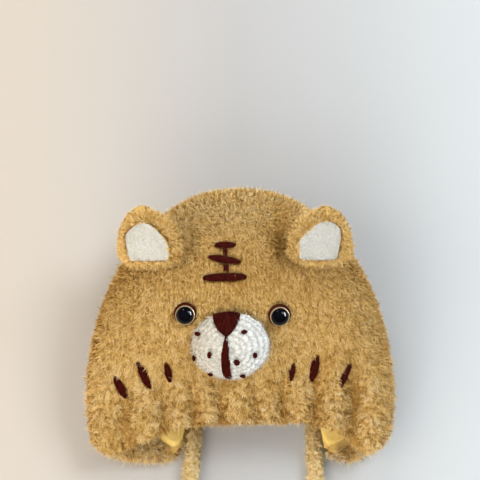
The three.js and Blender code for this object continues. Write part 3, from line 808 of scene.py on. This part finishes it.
def wall_under(points, normals, tree, most):
    """How thick the wall is under each point, up to a most."""
    found = []
    for p, n in zip(points, normals):
        inward = -Vector(n)
        hit = tree.ray_cast(Vector(p) + inward * SKIN, inward, most)
        found.append(most if hit[0] is None else hit[3] + SKIN)
    return np.array(found)


def spread_out(values, edges, rounds):
    """Evens a number over neighbouring points."""
    for _ in range(rounds):
        total = np.zeros(len(values))
        count = np.zeros(len(values))
        for near, far in ((0, 1), (1, 0)):
            np.add.at(total, edges[:, near], values[edges[:, far]])
            np.add.at(count, edges[:, near], 1)
        values = 0.5 * values + 0.5 * total / np.maximum(count, 1)
    return values


GATHER_REACH = 1.35  # how far the gathers fade past their reach, and how wide they spread
GATHER_SPREAD = 1.08
GATHER_RISE = 0.25  # the share of a gather over which it rises from half its height at the hem
GATHER_LEAN = 1.5
GATHERED_FACE = (0.08, 0.4)  # the normals' rises over which gathers grow full


def gathered(points, out):
    """How far the gathers lift each point, and the normals that lean with them."""
    across, along = points[:, 0] / MM, points[:, 1] / MM
    lift, slope_across, slope_along = np.zeros((3, len(points)))
    for g in GATHERS:
        f = fade(along, GATHERED_FROM, GATHER_REACH * g["reach"])
        share = (1 - f * f * (3 - 2 * f)) * (0.5 + 0.5 * fade(f, 0, GATHER_RISE))
        x = (across - g["across"]) / (GATHER_SPREAD * g["spread"])
        bell = g["lift"] * np.exp(-x * x)
        lift += bell * share
        slope_across -= 2 * x / g["spread"] * bell * share
        slope_along -= 6 * f * (1 - f) / g["reach"] * bell
    front = fade(out[:, 2], *GATHERED_FACE)
    slopes = np.stack([GATHER_LEAN * slope_across, slope_along, np.zeros(len(points))], axis=1)
    return lift * front, unit(out - slopes * front[:, None])


FACING = 0.55  # how squarely a surface lies in front of a point that it faces
TOUCHING = 0.05 * MM


def faced(point, normal, tree, reach):
    """Whether a point has a surface close in front of it, and not only beside it."""
    spot, _, _, gap = tree.find_nearest(Vector(point), reach)
    return spot is not None and (gap < TOUCHING or (spot - Vector(point)).dot(Vector(normal)) > FACING * gap)


LINING_REACH = 1.6 * MM
THICKEST_WALL = 14 * MM
PILE_SHARE = 0.42  # the most of a wall's thickness that its pile takes
FRONT_FROM = -0.15  # how far down the front's faces turn
RESTING = {"under": 2.5 * MM, "facing": -0.5}
# Where the pile changes along the hat: a change's start, and the distance over which it grows full
THICK_CROWN = (45 * MM, 25 * MM)
# painted light on the crown, which lies in the ears' shade and tilts away from the lamps
PAINTED_LIGHT_CROWN = (45 * MM, 35 * MM)
LOW_FACE = (-12 * MM, 60 * MM)
HEM = (68 * MM, 14 * MM)
HEM_SIDES = (-38 * MM, 8 * MM)
# painted light on the flaps' tips, which lie in the hat's shade
PAINTED_LIGHT_FLAP_TIPS = {"under": 16 * MM, "before": -66 * MM}
CAP_LENGTH = {"thin": 0.35, "full": 0.65, "plain": 0.94, "low_face": 0.2, "hem": 0.3}
# What lightens the pile: clouds of its own tone and its lower face; the knit's columns, the gathers, the
# crown and the flaps' tips carry painted light and shade
CAP_SHADE = {"clouds": 0.05, "columns": 0.16, "painted_valley_shade": 0.2, "painted_ridge_light": 0.06, "crown": 0.2, "low_face": 0.06,
             "painted_flap_light": 0.22}
PLAIN_SHADE = 0.48
COLUMN_TILT = 0.34


def add_cap(look_knit, look_pile):
    knit = merged_copy("cap", "cap_knit", 1)
    points, normals, triangles = surface_of(knit)
    lining = tree_of("lining")
    covered = np.array([faced(p, n, lining, LINING_REACH) for p, n in zip(points, normals)])
    wall = wall_under(points, normals, tree_of(knit), THICKEST_WALL)
    inset = np.where(covered, 0.0, np.minimum(PILE["inset"], PILE_SHARE * wall))
    inset = np.where(covered, 0.0, spread_out(inset, edges_of(knit), rounds=3))
    ground = points - normals * inset[:, None]
    sink = np.where(covered, 0.0, np.minimum(gathered(ground, normals)[0], 0) * MM)
    move_points(knit, ground + normals * sink[:, None])
    put_on(knit, look_knit, "fur", "cap")

    open_face = ~covered[triangles].any(1)
    middle = points[triangles].mean(1)
    facing_up = normals[triangles].mean(1)[:, 2]
    thicker = 1 + PILE["crown_more"] * fade(middle[:, 1], *THICK_CROWN)
    density = np.where(facing_up > FRONT_FROM, PILE["front"] * thicker, PILE["flank"])
    resting = (middle[:, 2] < RESTING["under"]) & (facing_up < RESTING["facing"])
    density = np.where(resting, PILE["under"], density)
    rng = np.random.default_rng(7)
    roots, out, chosen = scatter(ground, normals, triangles, density * open_face, rng)
    lift, out = gathered(roots, out)
    roots = roots + UP * (lift * MM)[:, None]

    low_face = fade(-roots[:, 1], *LOW_FACE)
    hem = fade(-roots[:, 1], *HEM) * fade(-np.abs(roots[:, 0]), *HEM_SIDES)
    reach = inset[triangles[chosen]].mean(1) / PILE["inset"]
    longer = CAP_LENGTH["thin"] + CAP_LENGTH["full"] * reach
    longer *= CAP_LENGTH["plain"] + CAP_LENGTH["low_face"] * low_face + CAP_LENGTH["hem"] * hem
    phase = 2 * math.pi * (roots[:, 0] / WALE + 0.3 * swells(roots, np.array([30, 40, 30]) * MM, 3))
    ribbed = 1 - 0.7 * low_face
    relief = unit(out + np.array([1.0, 0, 0]) * (COLUMN_TILT * np.sin(phase) * ribbed)[:, None])
    lighter = {
        "clouds": swells(roots, 16 * MM, 11) + swells(roots, 6 * MM, 12),
        # painted light and shade across the knit's columns
        "columns": np.cos(phase) * ribbed,
        # painted shade in the gathers' valleys and painted light on their ridges
        "painted_valley_shade": np.minimum(lift, 0),
        "painted_ridge_light": np.maximum(lift, 0),
        # painted light on the crown
        "crown": fade(roots[:, 1], *PAINTED_LIGHT_CROWN),
        "low_face": low_face,
        # painted light on the flaps' tips
        "painted_flap_light": (roots[:, 2] < PAINTED_LIGHT_FLAP_TIPS["under"]) & (roots[:, 1] < PAINTED_LIGHT_FLAP_TIPS["before"]),
    }
    shade = PLAIN_SHADE + sum(CAP_SHADE[part] * share for part, share in lighter.items())
    # painted shade in the hollows beside the ears, in a fold of the right cheek and over the eyes
    for shade_spot in PAINTED_SHADE_SPOTS:
        x = (roots[:, 0] / MM - shade_spot["across"]) / shade_spot["wide"]
        y = (roots[:, 1] / MM - shade_spot["along"]) / shade_spot["long"]
        shade -= shade_spot["darker"] * np.exp(-x * x - y * y)

    above = tree_of("muzzle", "eye_disc_left", "eye_disc_right", *nodes_named("forehead_", "cheek_stripe_"))
    front = facing_up[chosen] > FRONT_FROM
    cuts = np.quantile(roots[front, 1], [0.25, 0.5, 0.75])
    band = np.where(front, np.searchsorted(cuts, roots[:, 1]), 4)
    for number, (part, habit) in enumerate(zip(CAP_PARTS, CAP_HABITS)):
        here = band == number
        grow(f"cap_pile_{part}", look_pile, roots[here], out[here], PILE, shade[here], 60 + number,
             longer=longer[here], over=above, relief=relief[here], **habit)


# The ears

def add_ear(side, look_knit, look_pile):
    knit = merged_copy(f"ear_{side}", f"ear_{side}_knit", 1)
    points, normals, triangles = surface_of(knit)
    ground = points - normals * EAR_PILE["inset"]
    move_points(knit, ground)
    put_on(knit, look_knit, "fur", f"ear_{side}")
    rng = np.random.default_rng(80 + len(side))
    roots, out, _ = scatter(ground, normals, triangles, EAR_PILE["density"], rng)
    flow = unit(roots - points.mean(0)) + [0, 0.3, 0]
    shade = 0.58 + 0.1 * swells(roots, 7 * MM, 21)
    grow(f"ear_{side}_pile", look_pile, roots, out, EAR_PILE, shade, 90 + len(side), flow,
         over=tree_of(f"ear_patch_{side}"), tuft=(1.8, 2.4, 2.0), straight=1.6, rough=0.22)


def frame_at(points):
    """A flat piece's own frame: its middle, the side that points right, the rise and the normal."""
    middle = points.mean(0)
    _, _, axes = np.linalg.svd(points - middle, full_matrices=False)
    normal = axes[2] * np.sign(axes[2][2])
    side = unit(np.array([1.0, 0, 0]) - normal * normal[0])
    return middle, side, np.cross(normal, side), normal


PATCH_STITCH = {"wide": 1.9 * MM, "tall": 1.6 * MM, "height": 0.3 * MM, "point": 0.8, "sink": 0.7 * MM}
PATCH_FRONT = 0.5  # how squarely the nap's faces lie forward, and after it the fringe's
PATCH_RIM = (-0.2, 0.75)
VELOUR = {"density": 3.5, "length": 1.7 * MM, "width": 0.3 * MM, "fibres": 0.0}
FRINGE = {"density": 4.0, "length": 5.0 * MM, "width": 0.5 * MM, "fibres": 0.3}
FRINGE_BEYOND = (0.2 * MM, 1.4 * MM)


def add_ear_patch(side, look, look_velour, look_pile):
    patch = merged_copy(f"ear_patch_{side}", f"ear_patch_{side}_velour", 3)
    points, normals = points_of(patch), normals_of(patch)
    middle, across, rise, _ = frame_at(points)
    wander = 0.3 * swells(points, 6 * MM, 33)
    x = (points - middle) @ across / PATCH_STITCH["wide"] + wander
    y = (points - middle) @ rise / PATCH_STITCH["tall"] + wander
    chevron = y - PATCH_STITCH["point"] * np.abs(2 * (x - np.floor(x)) - 1)
    knit = 0.5 + 0.5 * np.cos(2 * math.pi * chevron)
    wale = np.abs(np.sin(math.pi * x)) ** 0.5
    height = knit * wale + 0.6 * swells(points, 1.3 * MM, 31) + 0.75 * swells(points, 9 * MM, 32)
    move_points(patch, points + normals * (PATCH_STITCH["height"] * height - PATCH_STITCH["sink"])[:, None])
    # painted shade in the creases between the stitches
    set_attribute(patch, "crease", np.clip(1 - knit * wale, 0, 1))
    put_on(patch, look, "plush", f"ear_patch_{side}")

    points, normals, triangles = surface_of(patch)
    forward = frame_at(points)[3]
    facing = (normals @ forward)[triangles].mean(1)
    rng = np.random.default_rng(85 + len(side))
    density = np.where(facing > PATCH_FRONT, VELOUR["density"], 0)
    roots, out, _ = scatter(points, normals, triangles, density, rng)
    shade = 0.75 + 0.12 * swells(roots, 5 * MM, 34)
    nap = grow(f"ear_patch_{side}_nap", look_velour, roots, out, VELOUR, shade, 86 + len(side),
               tuft=(1.4, 1.8, 1.4))

    rim = (facing > PATCH_RIM[0]) & (facing < PATCH_RIM[1])
    roots, _, _ = scatter(points, normals, triangles, np.where(rim, FRINGE["density"], 0), rng)
    away = unit(roots - points.mean(0))
    roots = roots + away * rng.uniform(*FRINGE_BEYOND, (len(roots), 1))
    lift = unit(0.8 * forward + 0.3 * away)
    shade = 0.62 + 0.1 * swells(roots, 7 * MM, 21)
    inward = [0, 0.15, 0] - 0.2 * away
    grow(f"ear_{side}_fringe", look_pile, roots, lift, FRINGE, shade, 88 + len(side), inward)


# The lining

WRINKLE = {"height": 0.25 * MM, "size": np.array([9, 22, 12]) * MM}


def add_lining(look):
    cloth = merged_copy("lining", "lining_cloth", 1)
    points, normals = points_of(cloth), normals_of(cloth)
    wrinkle = WRINKLE["height"] * swells(points, WRINKLE["size"], 35)
    move_points(cloth, points + normals * wrinkle[:, None])
    put_on(cloth, look, "lining", "lining")


# The crocheted muzzle

ROUND = 4.8 * MM
CROCHET_STITCH = 5.0 * MM
CROCHET_HEIGHT = 1.7 * MM
LOBE = {"from_middle": 0.23, "wide": 0.19}  # a stitch's two lobes, as shares of its width
OFF_CAP = 1.3 * MM  # how far off the cap the muzzle's front starts
RIM_FADE = 3 * MM  # how far under the rim the stitches' relief starts
YARN_FUZZ = {"density": 1.2, "length": 2.6 * MM, "width": 0.24 * MM, "fibres": 0.0}
FUZZY_FROM = -0.2


def add_muzzle(look, look_fuzz):
    muzzle = merged_copy("muzzle", "muzzle_crochet", 3)
    points, normals = points_of(muzzle), normals_of(muzzle)
    cap = tree_of("cap")
    solid = points_of(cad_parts["muzzle"])
    seat = np.array([cap.find_nearest(Vector(p))[3] for p in solid])
    middle, side, rise, normal = frame_at(solid[seat > OFF_CAP])
    x, y, z = (points - middle) @ side, (points - middle) @ rise, (points - middle) @ normal
    half = np.array([x.max(), y.max()])
    around = np.arctan2(y / half[1], x / half[0])
    share = np.clip(np.hypot(x / half[0], y / half[1]), 0, 1)
    steps = np.linspace(0, 1, 200)
    rim = z[share > 0.97].mean()
    dome = rim + (z.max() - rim) * (1 - steps**2.3) ** 0.6
    walked = np.concatenate([[0], np.cumsum(np.hypot(np.diff(steps * half.mean()), np.diff(dome)))])
    uneven = 0.34 * swells(points, 9 * MM, 43)
    laps = np.interp(share, steps, walked) / ROUND - around / (2 * math.pi) + 0.5 + uneven
    lap = np.floor(laps)
    f = laps - lap
    lap_share = np.interp((lap + 0.5) * ROUND, walked, steps)
    stitches = np.maximum(6, np.round(2 * math.pi * half.mean() * lap_share / CROCHET_STITCH))
    a = around / (2 * math.pi) * stitches + 0.37 * lap + 0.45 * swells(points, 6 * MM, 44)
    number = lattice(np.stack([lap, np.floor(a), lap * 0], axis=1), 45)
    a = a - np.floor(a)
    slant = 0.2 * (f - 0.5)
    apart = LOBE["from_middle"] - slant
    lobes = sum(np.exp(-(((a - spot) / LOBE["wide"]) ** 2)) for spot in (0.5 - apart, 0.5 + apart))
    ridge = np.sin(math.pi * f) ** 0.7
    yarn = ridge * (0.25 + 0.75 * np.clip(lobes, 0, 1)) * (0.65 + 0.6 * number)
    height = yarn + 0.3 * swells(points, 2.4 * MM, 41) + 0.25 * swells(points, 7 * MM, 42)
    lift = CROCHET_HEIGHT * (height - 0.45) * fade(z, rim - RIM_FADE, RIM_FADE)
    move_points(muzzle, points + normals * lift[:, None])
    # painted shade in the holes between the stitches
    set_attribute(muzzle, "crease", np.clip(1.0 - 1.35 * yarn, 0, 1))
    put_on(muzzle, look, "crochet", "muzzle")

    points, normals, triangles = surface_of(muzzle)
    facing = (normals @ normal)[triangles].mean(1)
    rng = np.random.default_rng(47)
    density = np.where(facing > FUZZY_FROM, YARN_FUZZ["density"], 0)
    roots, out, _ = scatter(points, normals, triangles, density, rng)
    fuzz = grow("muzzle_fuzz", look_fuzz, roots, out, YARN_FUZZ, 0.75, 48, flow=np.zeros(3),
                over=tree_of(*nodes_named("nose", "mouth", "muzzle_spot")))
    return muzzle


# Satin stitches

FLOSS = 0.75 * MM
ROW_SPACING = 0.8 * FLOSS
SHORTEST_ROW = 0.8 * MM
UNEVEN = {"rows": 0.06 * MM, "threads": 0.05 * MM}
POINT_SPACING = 2.5 * MM
END_SHARE = 0.02
PAD_EDGE = 0.1 * MM  # how far inside a pad's edge a thread still lies on its top
OVER_GROUND = 0.55 * MM  # how high the mouth's long threads lie on the muzzle
END_DIP = 0.12 * MM
PAD_DEPTH = 0.25 * MM  # how far the padding lies under its node's surface
RAY_LIFT = 8 * MM

# How each kind of motif is stitched, by the start of its nodes' names
MOTIFS = {
    "cheek_stripe_": {"slanted": 0.25, "spare": 0.6 * MM, "sink": 1.6 * MM},
    "forehead_bar_": {"slanted": 0.25, "spare": 0.6 * MM, "sink": 1.6 * MM},
    "forehead_stem_": {"lengthwise": True, "spare": 2.2 * MM},
    "mouth": {"lengthwise": True, "spare": 0.7 * MM, "further": (4.6 * MM, 3.2 * MM)},
    "muzzle_spot_": {"spare": 0.3 * MM},
    "nose": {"lengthwise": True, "spare": 0.7 * MM},
}


def top_of(tree, spot, normal):
    """The point of a tree's top in line with a spot, or None."""
    hit = tree.ray_cast(Vector(spot + normal * RAY_LIFT), Vector(-normal), 3 * RAY_LIFT)
    return None if hit[0] is None else np.array(hit[0])


def span_of(tree, middle, along, normal, reach, step=0.2 * MM):
    """Where a line across a piece starts and ends on its top, measured from a middle, or None."""
    marks = np.arange(-reach, reach + step, step)
    on = [mark for mark in marks if top_of(tree, middle + along * mark, normal) is not None]
    return (on[0], on[-1]) if on else None


def satin(node, look, ground, seed, spare, sink=0.6 * MM, slanted=0.0, lengthwise=False, further=(0.0, 0.0)):
    """Covers a node's pad with rows of floss laid side by side, which end in the cloth under it.

    further is how much longer the rows are at their low and high ends, where they follow the ground."""
    rng = np.random.default_rng(seed)
    tree = tree_of(node)
    points = points_of(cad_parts[node])
    middle, _, _, normal = frame_at(points)
    _, _, axes = np.linalg.svd(points - middle, full_matrices=False)
    long, wide = axes[0], np.cross(normal, axes[0])
    if lengthwise:
        long, wide = wide, long
    thread_way = unit(wide + slanted * long)
    reach = np.abs((points - middle) @ long).max() + FLOSS
    across_reach = np.abs((points - middle) @ wide).max() + 2 * FLOSS
    shares = np.linspace(0, 1, max(7, round(2 * across_reach / POINT_SPACING)))
    if any(further):
        shares = np.concatenate([[0], np.linspace(END_SHARE, 1 - END_SHARE, len(shares)), [1]])
    paths = []
    for place in np.arange(-reach, reach, ROW_SPACING):
        place = place + rng.normal(0, UNEVEN["rows"])
        base = middle + long * place
        span = span_of(tree, base, thread_way, normal, across_reach)
        if span is None or span[1] - span[0] < SHORTEST_ROW:
            continue
        low, high = span[0] - spare * rng.uniform(0.2, 1.6), span[1] + spare * rng.uniform(0.2, 1.6)
        more = further[1] * max(0, 1 - 1.3 * abs(place) / reach) * rng.uniform(0.85, 1.1)
        less = further[0] * rng.uniform(0.9, 1.1)
        low, high = (low - less, high + more) if thread_way[1] > 0 else (low - more, high + less)
        path = []
        for share in shares:
            mark = low + (high - low) * share
            inner = min(max(mark, span[0] + PAD_EDGE), span[1] - PAD_EDGE)
            top = top_of(tree, base + thread_way * inner, normal)
            spot = base + thread_way * mark if top is None else top + thread_way * (mark - inner)
            if any(further) and mark != inner:
                dome = top_of(ground, base + thread_way * mark, normal)
                spot = spot if dome is None else dome + normal * OVER_GROUND
            path.append(spot + long * rng.normal(0, UNEVEN["threads"]))
        path = np.array(path)
        path[[0, -1]] -= normal * sink
        path[[1, -2]] -= normal * END_DIP
        paths.append(path)
    paths = np.array(paths)
    ups = np.broadcast_to(normal, paths.shape)
    radii = np.full(paths.shape[:2], FLOSS / 2) * rng.uniform(0.88, 1.12, (len(paths), 1))
    radii[:, [0, -1]] = 0
    obj = closed(subdivided(tubes(f"{node}_stitches", paths, ups, radii, 6), 1))

    middles = paths.mean(1)
    thread = np.array([np.argmin(((middles - p) ** 2).sum(1)) for p in points_of(obj)])
    set_attribute(obj, "shade", 0.25 + 0.5 * lattice(np.stack([thread, thread, thread], axis=1), 51))
    return put_on(obj, look, "thread", node)


def pad_under(node, look):
    """The padding under a motif's stitches, a little smaller than the node's solid."""
    pad = merged_copy(node, f"{node}_padding", 1)
    move_points(pad, points_of(pad) - normals_of(pad) * PAD_DEPTH)
    set_attribute(pad, "shade", np.full(len(pad.data.vertices), 0.1))
    return put_on(pad, look, "thread", node)


def add_stitches(look, muzzle):
    ground = tree_of(muzzle)
    for seed, node in enumerate(nodes_named(*MOTIFS), 101):
        pad_under(node, look)
        habit = next(habit for start, habit in MOTIFS.items() if node.startswith(start))
        satin(node, look, ground, seed, **habit)


# The eyes

SMALL = 0.02 * MM  # the radius that a turned piece closes to
TURNED_SIDES = 64
DISC_EDGE = 0.5 * MM
EYE_GAP = 0.1 * MM
STRAIGHT_WALL = 0.55  # the share of the rim's height that the dome rises straight


def turned(name, profile, place):
    """A round piece: a circle is extruded and widened along a profile of radius and height."""
    bpy.ops.object.select_all(action="DESELECT")
    (radius, height), *rows = profile
    bpy.ops.mesh.primitive_circle_add(vertices=TURNED_SIDES, radius=radius, location=(0, 0, height))
    obj = bpy.context.object
    obj.name = name
    bpy.ops.object.mode_set(mode="EDIT")
    bpy.ops.mesh.select_all(action="SELECT")
    for next_radius, next_height in rows:
        bpy.ops.mesh.extrude_region_move(TRANSFORM_OT_translate={"value": (0, 0, next_height - height)})
        scale = next_radius / radius
        bpy.ops.transform.resize(value=(scale, scale, 1), center_override=(0, 0, next_height))
        radius, height = next_radius, next_height
    bpy.ops.object.mode_set(mode="OBJECT")
    closed(obj, within=0.001 * MM)
    bpy.ops.object.transform_apply(location=True)
    obj.data.transform(place)
    return obj


def add_eye(side, felt, gold, gloss):
    disc, rim, dome = (points_of(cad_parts[f"{part}_{side}"]) for part in ("eye_disc", "eye_rim", "eye"))
    _, across, rise, normal = frame_at(disc)

    def sizes(points):
        """A round node's place, its radius and height, and its lowest point along the eye's axis."""
        aside = np.array([points @ across, points @ rise])
        center = (aside.max(1) + aside.min(1)) / 2
        radius = np.linalg.norm(aside - center[:, None], axis=0).max()
        low, high = (points @ normal).min(), (points @ normal).max()
        middle = center[0] * across + center[1] * rise + low * normal
        place = Matrix((*[(across[i], rise[i], normal[i], middle[i]) for i in range(3)], (0, 0, 0, 1)))
        return place, radius, high - low, low

    place, radius, high, _ = sizes(disc)
    edge, bevel = DISC_EDGE, 0.3 * DISC_EDGE
    profile = [(SMALL, 0), (radius - edge, 0), (radius, edge), (radius, high - edge),
               (radius - bevel, high - bevel), (radius - edge, high), (SMALL, high)]
    put_on(turned(f"eye_disc_{side}_felt", profile, place), felt, "felt", f"eye_disc_{side}")

    place, radius, high, rim_low = sizes(rim)
    dome_place, eye_radius, eye_high, eye_low = sizes(dome)
    hole = eye_radius + EYE_GAP
    bead = (radius - hole) / 2
    turns = np.linspace(0, math.pi, 9)
    ring = [(hole + bead + bead * math.cos(a), high - bead + bead * math.sin(a)) for a in turns]
    profile = [(hole, 0), (radius, 0), *ring, (hole, 0)]
    put_on(turned(f"eye_rim_{side}_gold", profile, place), gold, "rim", f"eye_rim_{side}")

    wall = rim_low - eye_low + STRAIGHT_WALL * high
    turns = np.linspace(0, math.pi / 2, 24)[:-1]
    arc = [(eye_radius * math.cos(a), wall + (eye_high - wall) * math.sin(a)) for a in turns]
    profile = [(SMALL, 0), (eye_radius, 0), *arc, (SMALL, eye_high)]
    put_on(turned(f"eye_{side}_dome", profile, dome_place), gloss, "eye", f"eye_{side}")


add_camera()
knit, pile = knit_look(), pile_look("caramel_pile", CARAMEL, CARAMEL_ROOT)
tie_pile = pile_look("tie_pile", CARAMEL, TIE_ROOT)
for side in ("left", "right"):
    add_tie(side, knit, tie_pile)
add_lights()
add_table()
add_cap(knit, pile)
for side in ("left", "right"):
    add_ear(side, knit, pile)
velour, white_pile = plush_look(), pile_look("white_nap", OFF_WHITE, OFF_WHITE_ROOT)
for side in ("left", "right"):
    add_ear_patch(side, velour, white_pile, pile)
add_lining(lining_look())
muzzle = add_muzzle(crochet_look(), white_pile)
add_stitches(thread_look(), muzzle)
felt, gold, gloss = felt_look(), rim_look(), eye_look()
for side in ("left", "right"):
    add_eye(side, felt, gold, gloss)
